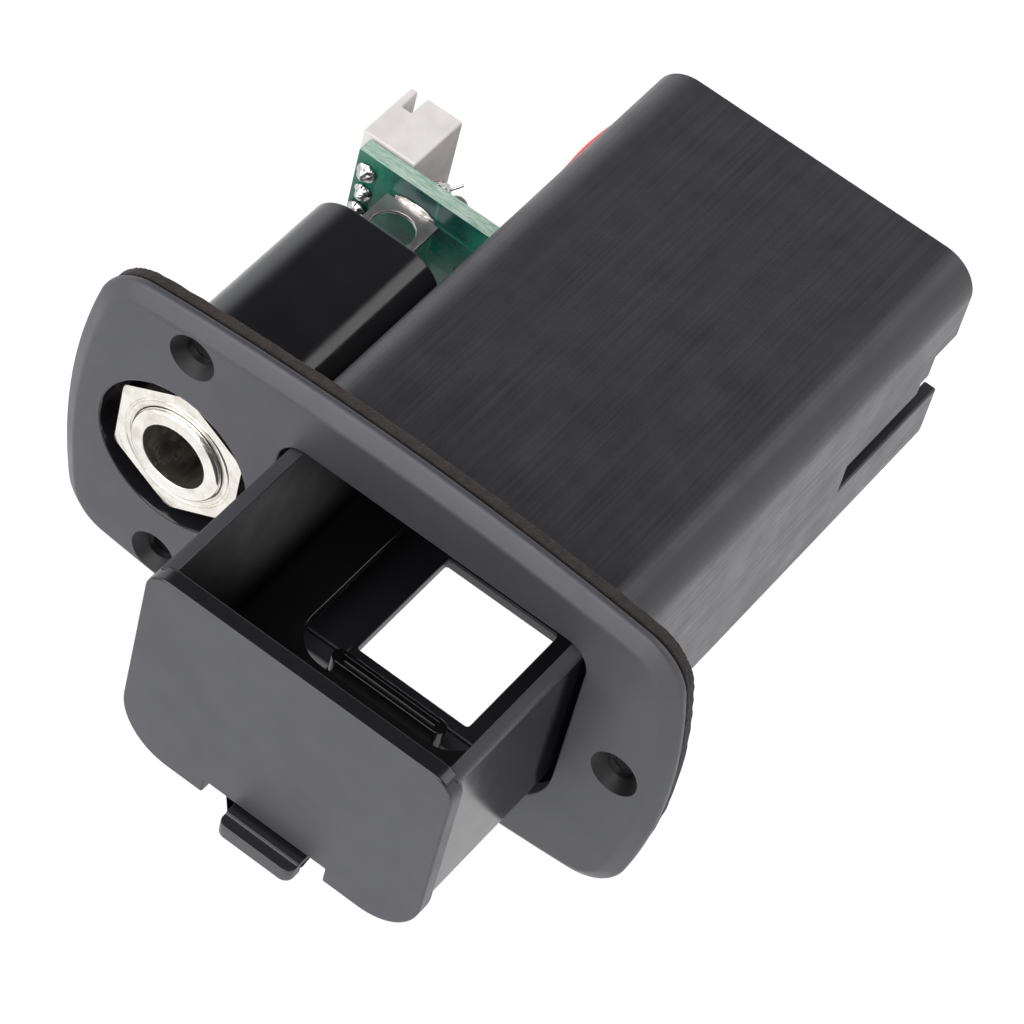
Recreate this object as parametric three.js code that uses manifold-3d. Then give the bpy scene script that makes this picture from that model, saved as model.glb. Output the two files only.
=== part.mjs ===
// Guitar side plate with a 6.35 mm output jack and a pull-out drawer for a 9 V (PP3) battery.
// Millimetres, +Z up. X runs along the plate, the player's side of the plate faces -Y, and
// everything behind the guitar's wall lies towards +Y. The origin is the centre of the plate,
// on the plane where the gasket rests against the wall.

import * as THREE from 'three';
import { mergeVertices } from 'three/addons/utils/BufferGeometryUtils.js';
import Module from 'manifold-3d';

const wasm = await Module();
wasm.setup();

// ---- driving dimensions -------------------------------------------------------------------

const gasketThickness = 1.0;
const plateLength = 62.5;
const plateHeight = 36.2;
const plateFront = -3.0;
const plateRear = -gasketThickness - 0.3;
const bevelDepth = 1.0;
const bevelWidth = 1.5;
const longEdgeRadius = 208;
const endRadius = 55;
const plateCornerRadius = 5.5;

const jackX = -19.5;
const screwRise = 13.3;
const farScrewX = 26.7;
const screwHoleRadius = 1.3;
const screwHeadRadius = 2.3;

const recessRadius = 7.75;
const recessFloor = 0.65;
const cupRadius = 9.3;
const cupRear = 2.3;

const bushingRadius = 4.7;
const bushingBore = 3.25;
const nutAcrossFlats = 12.7;
const nutFront = -2.3;
const nutRear = -0.1;

const bodyWidth = 14.0;
const bodyHeight = 12.6;
const bodyCornerRadius = 4.0;
const bodyFront = 2.45;
const bodyRear = 24.7;
const bodyWall = 1.2;

const boardFront = 29.7;
const boardThickness = 1.6;
const boardLeft = -6.6;
const boardRight = 8.0;
const boardBottom = -7.5;
const boardTop = 7.4;
const terminalEnd = boardFront + boardThickness + 0.5;

const pinPitch = 2.5;
const pinX = -5.4;
const pinMiddleZ = 2.8;
const pinSize = 0.64;
const headerLeft = -7.6;
const headerWidth = 5.75;
const headerLength = 9.8;
const headerDepth = 7.0;
const headerWall = 0.8;

const boxX = 5.9;
const boxWidth = 34.0;
const boxHeight = 25.6;
const boxWall = 1.3;
const boxCornerRadius = 3.8;
const boxRear = 53.2;
const bayWidth = boxWidth - 2 * boxWall;
const bayHeight = boxHeight - 2 * boxWall;

const drawerPull = 17.7;
const panelThickness = 1.7;
const panelClearance = 0.3;
const panelWidth = bayWidth - 2 * panelClearance;
const panelHeight = bayHeight - 2 * panelClearance;
const panelTopRadius = 2.2;
const panelBottomRadius = 5.4;
const trayWidth = 30.0;
const trayWall = 1.35;
const trayLength = 50.4;
const trayBottom = -8.1;
const trayFloor = -6.7;
const trayRim = 10.8;

const floorOpeningWidth = 18.3;
const floorOpeningFront = 12.4;
const floorOpeningRear = 39.0;
const panelNotchWidth = 12.6;
const armWidth = 11.8;
const armTop = -9.85;
const armBottom = -10.6;
const fingerTabWidth = 7.6;
const fingerTabX = 0.6;
const fingerTabBottom = -11.5;
const pivotY = 10.8;
const pivotZ = -10.1;
const pivotRadius = 0.65;

const contactSpacing = 12.7;
const contactRootZ = -3.6;
const carrierFront = 50.4;
const carrierRear = 52.4;
const tailEnd = 55.2;
const leadRadius = 0.6;

// ---- materials ----------------------------------------------------------------------------

function material(color, roughness, metalness) {
  return new THREE.MeshStandardMaterial({ color, roughness, metalness });
}

const blackPlastic = material(0x2f2e33, 0.5, 0.0);
const darkPlastic = material(0x1d1d20, 0.35, 0.0);
const foam = material(0x1b1816, 0.95, 0.0);
const nickel = material(0xd8d4cc, 0.25, 1.0);
const springBronze = material(0xb08d57, 0.35, 1.0);
const greenBoard = material(0x0f4b3c, 0.45, 0.0);
const whiteNylon = material(0xdcd7d2, 0.55, 0.0);
const tinned = material(0xb9bbbd, 0.3, 1.0);
const redWire = material(0xc8372d, 0.5, 0.0);
const blackWire = material(0x18181a, 0.5, 0.0);

// ---- solids -------------------------------------------------------------------------------

// A closed geometry as a solid that faces outwards, whichever way round its outline was drawn.
function solid(geometry) {
  const bare = geometry.clone();
  bare.deleteAttribute('normal');
  bare.deleteAttribute('uv');
  const merged = mergeVertices(bare, 1e-5);
  const vertProperties = new Float32Array(merged.attributes.position.array);
  const triVerts = new Uint32Array(merged.index.array);
  const made = new wasm.Manifold(new wasm.Mesh({ numProp: 3, vertProperties, triVerts }));
  if (made.volume() > 0) return made;
  triVerts.reverse();
  return new wasm.Manifold(new wasm.Mesh({ numProp: 3, vertProperties, triVerts }));
}

function geometryOf(manifold) {
  const mesh = manifold.getMesh();
  const geometry = new THREE.BufferGeometry();
  geometry.setAttribute('position', new THREE.BufferAttribute(mesh.vertProperties, 3));
  geometry.setIndex(new THREE.BufferAttribute(mesh.triVerts, 1));
  geometry.computeVertexNormals();
  return geometry;
}

function block(x0, x1, y0, y1, z0, z1) {
  const box = new THREE.BoxGeometry(x1 - x0, y1 - y0, z1 - z0);
  return solid(box.translate((x0 + x1) / 2, (y0 + y1) / 2, (z0 + z1) / 2));
}

function rod(radius, y0, y1, x = 0, z = 0, sides = 40) {
  const cylinder = new THREE.CylinderGeometry(radius, radius, y1 - y0, sides);
  return solid(cylinder.translate(x, (y0 + y1) / 2, z));
}

// A shape drawn in X and Z, extruded along Y from y0 to y1.
function prismAlongY(shape, y0, y1, curveSegments = 8) {
  const prism = new THREE.ExtrudeGeometry(shape, { depth: y1 - y0, bevelEnabled: false, curveSegments });
  return solid(prism.rotateX(Math.PI / 2).translate(0, y1, 0));
}

// A shape drawn in X and Y, extruded along Z from z0 to z1.
function prismAlongZ(shape, z0, z1, curveSegments = 8) {
  const prism = new THREE.ExtrudeGeometry(shape, { depth: z1 - z0, bevelEnabled: false, curveSegments });
  return solid(prism.translate(0, 0, z0));
}

// A shape drawn in Y and Z, extruded along X from x0 to x1.
function prismAlongX(shape, x0, x1) {
  const prism = new THREE.ExtrudeGeometry(shape, { depth: x1 - x0, bevelEnabled: false });
  const turn = new THREE.Matrix4().makeBasis(
    new THREE.Vector3(0, 1, 0),
    new THREE.Vector3(0, 0, 1),
    new THREE.Vector3(1, 0, 0),
  );
  return solid(prism.applyMatrix4(turn).translate(x0, 0, 0));
}

// A lathe turned about the Y axis; the profile is a closed list of [radius, y].
function turned(profile, sides = 40) {
  const points = profile.map(([radius, y]) => new THREE.Vector2(radius, y));
  return solid(new THREE.LatheGeometry([...points, points[0].clone()], sides));
}

function polygon(points) {
  return new THREE.Shape(points.map(([a, b]) => new THREE.Vector2(a, b)));
}

function roundedRect(width, height, topRadius, bottomRadius = topRadius, x = 0, y = 0) {
  const left = x - width / 2;
  const right = x + width / 2;
  const top = y + height / 2;
  const bottom = y - height / 2;
  const shape = new THREE.Shape();
  shape.moveTo(left + bottomRadius, bottom);
  shape.absarc(right - bottomRadius, bottom + bottomRadius, bottomRadius, -Math.PI / 2, 0);
  shape.absarc(right - topRadius, top - topRadius, topRadius, 0, Math.PI / 2);
  shape.absarc(left + topRadius, top - topRadius, topRadius, Math.PI / 2, Math.PI);
  shape.absarc(left + bottomRadius, bottom + bottomRadius, bottomRadius, Math.PI, 1.5 * Math.PI);
  return shape;
}

// A thin strip of sheet metal bent along a line of [a, b] points, as a closed outline.
function bentStrip(points, thickness) {
  const line = points.map(([a, b]) => new THREE.Vector2(a, b));
  const offset = (side) => line.map((point, i) => {
    const before = line[Math.max(i - 1, 0)];
    const after = line[Math.min(i + 1, line.length - 1)];
    const along = after.clone().sub(before).normalize();
    return new THREE.Vector2(-along.y, along.x).multiplyScalar(side * thickness / 2).add(point);
  });
  return new THREE.Shape([...offset(-1), ...offset(1).reverse()]);
}

// The plate's outline: two shallow long arcs, two rounder end arcs and a fillet at each corner.
// An inset moves the whole outline inwards by that distance.
function plateOutline(inset) {
  const longCentre = longEdgeRadius - plateHeight / 2;
  const endCentre = endRadius - plateLength / 2;
  const toLong = longEdgeRadius - plateCornerRadius;
  const toEnd = endRadius - plateCornerRadius;
  const between = Math.hypot(longCentre, endCentre);
  const along = (toLong ** 2 - toEnd ** 2 + between ** 2) / (2 * between);
  const aside = Math.sqrt(toLong ** 2 - along ** 2);
  const cornerX = (-endCentre * along + longCentre * aside) / between;
  const cornerZ = -longCentre + (longCentre * along + endCentre * aside) / between;
  const endSwing = Math.atan2(cornerZ, cornerX + endCentre);
  const longStart = Math.atan2(cornerZ + longCentre, cornerX);
  const shape = new THREE.Shape();
  const addQuarter = (turn) => {
    const flipX = turn === 1 || turn === 2 ? -1 : 1;
    const flipZ = turn >= 2 ? -1 : 1;
    const arcs = [
      [-endCentre, 0, endRadius - inset, 0, endSwing],
      [cornerX, cornerZ, plateCornerRadius - inset, endSwing, longStart],
      [0, -longCentre, longEdgeRadius - inset, longStart, Math.PI / 2],
    ];
    const forward = flipX * flipZ > 0;
    for (const [x, z, radius, from, to] of forward ? arcs : arcs.reverse()) {
      for (let step = 0; step < 6; step += 1) {
        const share = step / 6;
        const angle = forward ? from + (to - from) * share : to + (from - to) * share;
        const px = flipX * (x + radius * Math.cos(angle));
        const pz = flipZ * (z + radius * Math.sin(angle));
        if (shape.currentPoint.lengthSq() === 0) shape.moveTo(px, pz);
        else shape.lineTo(px, pz);
      }
    }
  };
  [0, 1, 2, 3].forEach(addQuarter);
  shape.closePath();
  return shape;
}

// A solid through rings of equally many points, each ring an outline in X and Z at its own Y.
function loft(rings) {
  const outlines = rings.map(({ shape }) => {
    const points = shape.getPoints();
    const last = points[points.length - 1];
    return last.distanceTo(points[0]) < 1e-6 ? points.slice(0, -1) : points;
  });
  const count = outlines[0].length;
  const positions = [];
  outlines.forEach((points, ring) => {
    points.forEach((point) => positions.push(point.x, rings[ring].y, point.y));
  });
  const index = [];
  for (let ring = 0; ring < rings.length - 1; ring += 1) {
    for (let i = 0; i < count; i += 1) {
      const next = (i + 1) % count;
      const a = ring * count + i;
      const b = ring * count + next;
      index.push(a, a + count, b, b, a + count, b + count);
    }
  }
  const lastRing = (rings.length - 1) * count;
  for (const [a, b, c] of THREE.ShapeUtils.triangulateShape(outlines[0], [])) {
    index.push(a, b, c);
    index.push(lastRing + a, lastRing + c, lastRing + b);
  }
  const geometry = new THREE.BufferGeometry();
  geometry.setAttribute('position', new THREE.Float32BufferAttribute(positions, 3));
  geometry.setIndex(index);
  return solid(geometry);
}

const part = new THREE.Group();

function addPiece(group, name, manifold, look) {
  const mesh = new THREE.Mesh(geometryOf(manifold), look);
  mesh.name = name;
  group.add(mesh);
}

function addGroup(parent, x, y = 0, z = 0) {
  const group = new THREE.Group();
  group.position.set(x, y, z);
  parent.add(group);
  return group;
}

// ---- plate and gasket ---------------------------------------------------------------------

function countersunkHole(x, z) {
  const coneDepth = screwHeadRadius - screwHoleRadius;
  const start = plateFront - 0.2;
  const funnel = turned([
    [0, start],
    [screwHeadRadius + 0.2, start],
    [screwHoleRadius, plateFront + coneDepth],
    [screwHoleRadius, plateRear + 0.5],
    [0, plateRear + 0.5],
  ], 28);
  return funnel.translate([x, 0, z]);
}

const screwPlaces = [[jackX, screwRise], [jackX, -screwRise], [farScrewX, 0]];

function faceplate() {
  let plate = loft([
    { shape: plateOutline(bevelWidth), y: plateFront },
    { shape: plateOutline(0), y: plateFront + bevelDepth },
    { shape: plateOutline(0), y: plateRear },
  ]);
  const besideBox = block(boxX - boxWidth / 2 - 0.2, 0, plateRear, cupRear + 1, -20, 20);
  plate = plate.add(rod(cupRadius, plateRear - 0.4, cupRear, jackX).subtract(besideBox));
  plate = plate.subtract(rod(recessRadius, plateFront - 1, recessFloor, jackX, 0, 48));
  plate = plate.subtract(rod(bushingRadius + 0.2, 0, cupRear + 1, jackX));
  const opening = roundedRect(bayWidth, bayHeight, 2.5, 5.7, boxX, 0);
  plate = plate.subtract(prismAlongY(opening, plateFront - 1, plateRear + 1));
  for (const [x, z] of screwPlaces) {
    plate = plate.subtract(countersunkHole(x, z));
  }
  return plate;
}

function gasket() {
  let sheet = loft([
    { shape: plateOutline(0.2), y: -gasketThickness },
    { shape: plateOutline(0.2), y: 0 },
  ]);
  sheet = sheet.subtract(rod(cupRadius + 0.3, -2, 1, jackX));
  const boxHole = roundedRect(boxWidth + 0.6, boxHeight + 0.6, boxCornerRadius, boxCornerRadius, boxX, 0);
  sheet = sheet.subtract(prismAlongY(boxHole, -2, 1));
  for (const [x, z] of screwPlaces) {
    sheet = sheet.subtract(rod(screwHoleRadius + 0.4, -2, 1, x, z, 20));
  }
  return sheet;
}

addPiece(part, 'faceplate', faceplate(), blackPlastic);
addPiece(part, 'gasket', gasket(), foam);

// ---- output jack, in its own frame with Y along the plug's axis ---------------------------

const jack = addGroup(part, jackX);

function hexNut() {
  const corner = nutAcrossFlats / Math.sqrt(3);
  const hexagon = polygon([0, 1, 2, 3, 4, 5].map((i) => {
    const angle = Math.PI / 6 + i * Math.PI / 3;
    return [corner * Math.cos(angle), corner * Math.sin(angle)];
  }));
  const chamfer = turned([
    [0, nutFront],
    [nutAcrossFlats / 2 + 0.5, nutFront],
    [corner, nutFront + 0.3],
    [corner, nutRear],
    [0, nutRear],
  ], 48);
  const threadHole = rod(bushingRadius + 0.15, nutFront - 1, nutRear + 1);
  return prismAlongY(hexagon, nutFront, nutRear).intersect(chamfer).subtract(threadHole);
}

function jackBody() {
  const shell = prismAlongY(roundedRect(bodyWidth, bodyHeight, bodyCornerRadius), bodyFront, bodyRear);
  const chamber = roundedRect(bodyWidth - 2 * bodyWall, bodyHeight - 2 * bodyWall, bodyCornerRadius - bodyWall);
  return shell
    .subtract(prismAlongY(chamber, bodyFront + 1.55, bodyRear + 1))
    .subtract(rod(bushingRadius + 0.15, bodyFront - 1, bodyFront + 3));
}

function jackEndCap() {
  const y0 = bodyRear - 1.6;
  const y1 = bodyRear - 0.2;
  const width = bodyWidth - 2 * bodyWall - 0.4;
  const height = bodyHeight - 2 * bodyWall - 0.4;
  return prismAlongY(roundedRect(width, height, bodyCornerRadius - bodyWall - 0.2), y0, y1)
    .subtract(rod(3.5, y0 - 1, y1 + 1))
    .subtract(block(-3.1, 3.1, y0 - 1, y1 + 1, 4.3, 6))
    .subtract(block(-1.3, 1.3, y0 - 1, y1 + 1, -6, -4.35))
    .subtract(block(4.95, 7, y0 - 1, y1 + 1, -1.3, 1.3));
}

function groundLug() {
  const half = 2.8;
  const tabHalf = 1.7;
  const shoulder = boardFront - 0.3;
  const outline = polygon([
    [-half, 5.45], [half, 5.45], [half, shoulder], [tabHalf, shoulder],
    [tabHalf, terminalEnd], [-tabHalf, terminalEnd], [-tabHalf, shoulder], [-half, shoulder],
  ]);
  const eye = new THREE.Path();
  eye.absarc(0, 26.4, 2.1, 0, 2 * Math.PI);
  outline.holes.push(eye);
  return prismAlongZ(outline, 4.6, 4.95);
}

const bushing = turned([
  [bushingBore, plateFront + 0.1],
  [bushingRadius - 0.25, plateFront + 0.1],
  [bushingRadius, plateFront + 0.35],
  [bushingRadius, bodyFront + 1.7],
  [4.95, bodyFront + 1.7],
  [4.95, bodyFront + 2.7],
  [bushingBore, bodyFront + 2.7],
], 48);
const washer = rod(6.2, 0.05, 0.5).subtract(rod(4.95, -1, 1));

const tipSpring = bentStrip([[9.2, -4.25], [11, -4.25], [20.5, -2.35], [22.3, -3.2]], 0.3);
const ringSpring = bentStrip([[7.2, 4.85], [8.8, 4.85], [15.5, 2.5], [17.2, 3.4]], 0.3);

// Y, X drawn outline turned so that the ring spring lies on the chamber's right wall.
function ringSpringSolid() {
  const swapped = new THREE.Shape(ringSpring.getPoints().map((p) => new THREE.Vector2(p.y, p.x)).reverse());
  return prismAlongZ(swapped, -1.5, 1.5);
}

addPiece(jack, 'jack_bushing', bushing, nickel);
addPiece(jack, 'hex_nut', hexNut(), nickel);
addPiece(jack, 'flat_washer', washer, nickel);
addPiece(jack, 'jack_body', jackBody(), darkPlastic);
addPiece(jack, 'jack_end_cap', jackEndCap(), darkPlastic);
addPiece(jack, 'ground_lug', groundLug(), tinned);
addPiece(jack, 'tip_terminal', block(-1, 1, 8.6, terminalEnd, -4.95, -4.6), tinned);
addPiece(jack, 'tip_spring', prismAlongX(tipSpring, -1.5, 1.5), springBronze);
addPiece(jack, 'ring_terminal', block(5.2, 5.55, 6.6, terminalEnd, -1, 1), tinned);
addPiece(jack, 'ring_spring', ringSpringSolid(), springBronze);

// ---- circuit board and its pin header -----------------------------------------------------

const pinRows = [1, 0, -1].map((row) => pinMiddleZ + row * pinPitch);
const boardRear = boardFront + boardThickness;

function circuitBoard() {
  let board = block(boardLeft, boardRight, boardFront, boardRear, boardBottom, boardTop);
  const slots = [
    [-1.95, 1.95, 4.35, 5.2],
    [-1.25, 1.25, -5.2, -4.35],
    [4.95, 5.8, -1.25, 1.25],
  ];
  for (const [x0, x1, z0, z1] of slots) {
    board = board.subtract(block(x0, x1, boardFront - 1, boardRear + 1, z0, z1));
  }
  for (const z of pinRows) {
    board = board.subtract(rod(0.62, boardFront - 1, boardRear + 1, pinX, z, 16));
  }
  return board;
}

function headerHousing() {
  const y0 = boardRear + 0.15;
  const y1 = y0 + headerDepth;
  const right = headerLeft + headerWidth;
  const bottom = pinMiddleZ - headerLength / 2;
  const top = pinMiddleZ + headerLength / 2;
  const wall = headerWall;
  const slotLeft = headerLeft + wall;
  let housing = block(headerLeft, right, y0, y1, bottom, top);
  housing = housing.subtract(block(headerLeft + wall, right - wall, y0 + 1.8, y1 + 1, bottom + wall, top - wall));
  housing = housing.subtract(block(slotLeft, slotLeft + 1.0, y1 - 2.4, y1 + 1, bottom - 1, top + 1));
  for (const z of pinRows) {
    housing = housing.subtract(block(pinX - 0.5, pinX + 0.5, y0 - 1, y0 + 3, z - 0.5, z + 0.5));
  }
  return housing;
}

addPiece(jack, 'circuit_board', circuitBoard(), greenBoard);
addPiece(jack, 'header_housing', headerHousing(), whiteNylon);
pinRows.forEach((z, row) => {
  const half = pinSize / 2;
  const pin = block(pinX - half, pinX + half, boardFront - 0.8, boardRear + 5.8, z - half, z + half);
  addPiece(jack, `header_pin_${row + 1}`, pin, tinned);
});

// ---- battery box, in its own frame centred on the drawer opening --------------------------

const box = addGroup(part, boxX);
const notchFront = 37.4;

function batteryBox() {
  const front = plateRear + 0.15;
  const outer = roundedRect(boxWidth, boxHeight, boxCornerRadius);
  const inner = roundedRect(bayWidth, bayHeight, boxCornerRadius - boxWall);
  let tube = prismAlongY(outer, front, boxRear).subtract(prismAlongY(inner, front - 1, boxRear + 1));
  tube = tube.subtract(block(-boxWidth, boxWidth, notchFront, boxRear + 1, -3.6, 3.8));
  const catchWindow = roundedRect(11.8, 13, 0.3, 0.3, 0, 6.7);
  tube = tube.subtract(prismAlongZ(catchWindow, -boxHeight / 2 - 1, -bayHeight / 2 + 1, 3));
  for (const side of [-1, 1]) {
    const wall = side * (bayWidth / 2 + 0.4);
    const tip = side * (bayWidth / 2 - 1.9);
    const rail = block(Math.min(wall, tip), Math.max(wall, tip), 26, 47, -bayHeight / 2 - 0.4, trayBottom - 0.25);
    tube = tube.add(rail);
  }
  return tube;
}

// The rear insert: an end wall with a lug on each side that sits in the tube's side notch.
function contactCarrier() {
  const endWall = roundedRect(bayWidth - 0.4, bayHeight - 0.4, boxCornerRadius - boxWall - 0.2);
  let carrier = prismAlongY(endWall, carrierFront, carrierRear);
  for (const side of [-1, 1]) {
    const lugIn = bayWidth / 2 - 0.35;
    const lugOut = boxWidth / 2 - 0.45;
    const lug = block(lugIn, lugOut, notchFront + 0.3, 49.9, -1.9, 3.5);
    const neck = block(lugIn, lugIn + 0.8, 49.5, carrierRear, -1.9, 3.5);
    const foot = block(lugIn - 1.5, lugIn + 0.8, carrierFront, carrierRear, -1.9, 3.5);
    const arm = lug.add(neck).add(foot);
    carrier = carrier.add(side > 0 ? arm : arm.mirror([1, 0, 0]));
  }
  for (const x of [-contactSpacing / 2, contactSpacing / 2]) {
    carrier = carrier.subtract(block(x - 1.2, x + 1.2, carrierFront - 1, carrierRear + 1, -4.4, -3.1));
  }
  return carrier;
}

// A leaf that bows forward to a battery terminal, with a narrow tail through the carrier.
function batteryContact(x) {
  const leafLine = [[50.1, contactRootZ], [49.6, -3.1], [46.9, 2.1], [48.2, 5.1]];
  const leaf = prismAlongX(bentStrip(leafLine, 0.35), x - 3, x + 3);
  const tail = block(x - 1, x + 1, 49.9, tailEnd, contactRootZ - 0.175, contactRootZ + 0.175);
  return leaf.add(tail);
}

addPiece(box, 'battery_box', batteryBox(), blackPlastic);
addPiece(box, 'contact_carrier', contactCarrier(), blackPlastic);
addPiece(box, 'positive_contact', batteryContact(-contactSpacing / 2), nickel);
addPiece(box, 'negative_contact', batteryContact(contactSpacing / 2), nickel);

// ---- drawer and latch, in a frame whose Y starts at the back of the drawer's front panel ---

const drawer = addGroup(box, 0, plateFront + panelThickness - drawerPull);

function traySection() {
  const outer = trayWidth / 2;
  const inner = outer - trayWall;
  const outerRadius = 2.0;
  const innerRadius = 0.8;
  const section = new THREE.Shape();
  section.moveTo(-outer + 0.4, trayRim);
  section.lineTo(-outer, trayRim - 0.5);
  section.absarc(-outer + outerRadius, trayBottom + outerRadius, outerRadius, Math.PI, 1.5 * Math.PI);
  section.absarc(outer - outerRadius, trayBottom + outerRadius, outerRadius, -Math.PI / 2, 0);
  section.lineTo(outer, trayRim - 0.5);
  section.lineTo(outer - 0.4, trayRim);
  section.lineTo(inner, trayRim);
  section.absarc(inner - innerRadius, trayFloor + innerRadius, innerRadius, 0, -Math.PI / 2, true);
  section.absarc(-inner + innerRadius, trayFloor + innerRadius, innerRadius, -Math.PI / 2, -Math.PI, true);
  section.lineTo(-inner, trayRim);
  section.closePath();
  return section;
}

// One moulding: the front panel, the tray behind it and two lugs that carry the latch's pivot.
function batteryDrawer() {
  const panel = roundedRect(panelWidth, panelHeight, panelTopRadius, panelBottomRadius);
  let tray = prismAlongY(traySection(), -0.5, trayLength, 6).add(prismAlongY(panel, -panelThickness, 0));
  const inner = trayWidth / 2 - trayWall;
  tray = tray.add(block(-inner - 0.3, inner + 0.3, trayLength - 1.2, trayLength, trayFloor - 0.3, -5.2));
  for (const x of [-6.9, 6.9]) {
    tray = tray.add(block(x - 0.6, x + 0.6, pivotY - 1.5, pivotY + 1.4, -11.2, trayBottom + 0.3));
  }
  const openingLength = floorOpeningRear - floorOpeningFront;
  const openingMiddle = (floorOpeningRear + floorOpeningFront) / 2;
  const opening = roundedRect(floorOpeningWidth, openingLength, 1.5, 3.6, 0, openingMiddle);
  tray = tray.subtract(prismAlongZ(opening, trayBottom - 1, trayFloor + 0.5));
  tray = tray.subtract(prismAlongX(pivotHole(), -9, 9));
  const notch = panelNotchWidth / 2;
  return tray.subtract(block(-notch, notch, -panelThickness - 1, 1, -bayHeight, -9.5));
}

function pivotHole() {
  const hole = new THREE.Shape();
  hole.absarc(pivotY, pivotZ, pivotRadius + 0.3, 0, 2 * Math.PI);
  return hole;
}

// A rocker under the tray: finger tab, arm with its catch, two pivot pins and an upright bar.
function latchArm() {
  const half = armWidth / 2;
  const arm = block(-half, half, 0.6, 15.0, armBottom, armTop);
  const neckLeft = fingerTabX - fingerTabWidth / 2;
  const neck = block(neckLeft, neckLeft + fingerTabWidth, -2.6, 0.9, armBottom, armTop);
  const tab = roundedRect(fingerTabWidth, 1.8, 0.2, 0.9, fingerTabX, -2.9);
  const bar = roundedRect(armWidth, 1.6, 0.75, 0.75, 0, 14.9);
  const groove = block(1 - half, half - 1, 14.6, 15.2, -8.2, -7);
  const pins = new THREE.Shape();
  pins.absarc(pivotY, pivotZ, pivotRadius, 0, 2 * Math.PI);
  const boss = new THREE.Shape();
  boss.absarc(pivotY, pivotZ, 1.1, 0, 2 * Math.PI);
  const hook = polygon([[1.9, armBottom + 0.2], [1.9, -11.35], [2.5, -11.35], [4.2, armBottom + 0.2]]);
  return arm
    .add(prismAlongZ(tab, fingerTabBottom, -10.0, 5))
    .add(neck)
    .add(prismAlongZ(bar, armBottom, -7.6, 4).subtract(groove))
    .add(prismAlongX(hook, -3.2, 3.2))
    .add(prismAlongX(boss, -half, half))
    .add(prismAlongX(pins, -7.3, 7.3));
}

addPiece(drawer, 'battery_drawer', batteryDrawer(), blackPlastic);
addPiece(drawer, 'latch_arm', latchArm(), darkPlastic);

// ---- battery leads, soldered to the board and to the contacts' tails ----------------------

function lead(points) {
  const route = new THREE.CatmullRomCurve3(points.map((point) => new THREE.Vector3(...point)));
  const section = new THREE.Shape();
  section.absarc(0, 0, leadRadius, 0, 2 * Math.PI);
  const steps = 26;
  return solid(new THREE.ExtrudeGeometry(section, { extrudePath: route, steps, curveSegments: 4, bevelEnabled: false }));
}

const solderPlane = boardRear + 0.3;
const tailPlane = tailEnd + 0.4;
const positiveX = boxX - contactSpacing / 2;
const negativeX = boxX + contactSpacing / 2;

const redRoute = [
  [-14.4, solderPlane, -2.4], [-13.9, 34.5, -1.8], [-12.9, 39.5, 1.8], [-12.6, 43.5, 4.2],
  [-12.5, 47.5, 4.9], [-12.2, 52, 3.8], [-10.2, 56, 1.8], [-6.5, 57.8, -0.6], [-2.4, 57.8, -2.9],
  [positiveX, tailPlane, contactRootZ],
];
const blackRoute = [
  [-17.4, solderPlane, 5.6], [-17.3, 33.2, 4.6], [-16.8, 34.4, 1.4], [-15.6, 36.5, -3.0],
  [-13.8, 41, -5.5], [-12.8, 47, -6.2], [-12.0, 52.5, -6.6], [-8.5, 56.8, -6.8], [0, 58.2, -6.2],
  [8.5, 58.2, -5.0], [negativeX, tailPlane, contactRootZ],
];

addPiece(part, 'red_lead', lead(redRoute), redWire);
addPiece(part, 'black_lead', lead(blackRoute), blackWire);

export default part;
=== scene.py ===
import math

import bpy
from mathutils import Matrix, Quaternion, Vector


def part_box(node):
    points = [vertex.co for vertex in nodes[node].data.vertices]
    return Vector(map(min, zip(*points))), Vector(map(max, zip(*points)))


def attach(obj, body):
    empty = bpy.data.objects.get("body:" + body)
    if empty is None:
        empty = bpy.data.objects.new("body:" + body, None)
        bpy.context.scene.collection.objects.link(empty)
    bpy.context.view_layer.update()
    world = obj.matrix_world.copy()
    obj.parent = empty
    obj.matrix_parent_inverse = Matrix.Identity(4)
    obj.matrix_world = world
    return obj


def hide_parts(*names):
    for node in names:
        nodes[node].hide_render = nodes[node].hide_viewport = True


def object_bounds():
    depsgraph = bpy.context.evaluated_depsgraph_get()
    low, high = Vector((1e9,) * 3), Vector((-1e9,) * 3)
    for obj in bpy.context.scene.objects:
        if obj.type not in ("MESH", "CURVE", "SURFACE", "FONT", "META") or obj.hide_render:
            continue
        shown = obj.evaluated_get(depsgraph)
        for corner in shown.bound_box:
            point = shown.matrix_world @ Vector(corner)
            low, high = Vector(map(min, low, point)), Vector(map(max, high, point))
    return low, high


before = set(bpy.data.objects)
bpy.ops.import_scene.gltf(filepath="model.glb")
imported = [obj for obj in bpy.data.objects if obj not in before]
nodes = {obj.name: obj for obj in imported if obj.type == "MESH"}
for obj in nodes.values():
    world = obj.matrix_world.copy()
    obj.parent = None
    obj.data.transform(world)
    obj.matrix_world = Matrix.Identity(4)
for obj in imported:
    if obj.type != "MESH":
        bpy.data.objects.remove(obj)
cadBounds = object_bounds()
print("frame loaded:", len(nodes), "nodes")


def mm(*values):
    scaled = tuple(value * 0.001 for value in values)
    return scaled[0] if len(scaled) == 1 else scaled


cameraLook = {
    "target": (5.35, 11.2, 2.0),  # mm, a little right of the plate's centre
    "distance": 417,
    "azimuth": 23.6,
    "elevation": 51.2,
    "roll": 16.3,
    "lens": 175.8,
}

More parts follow.
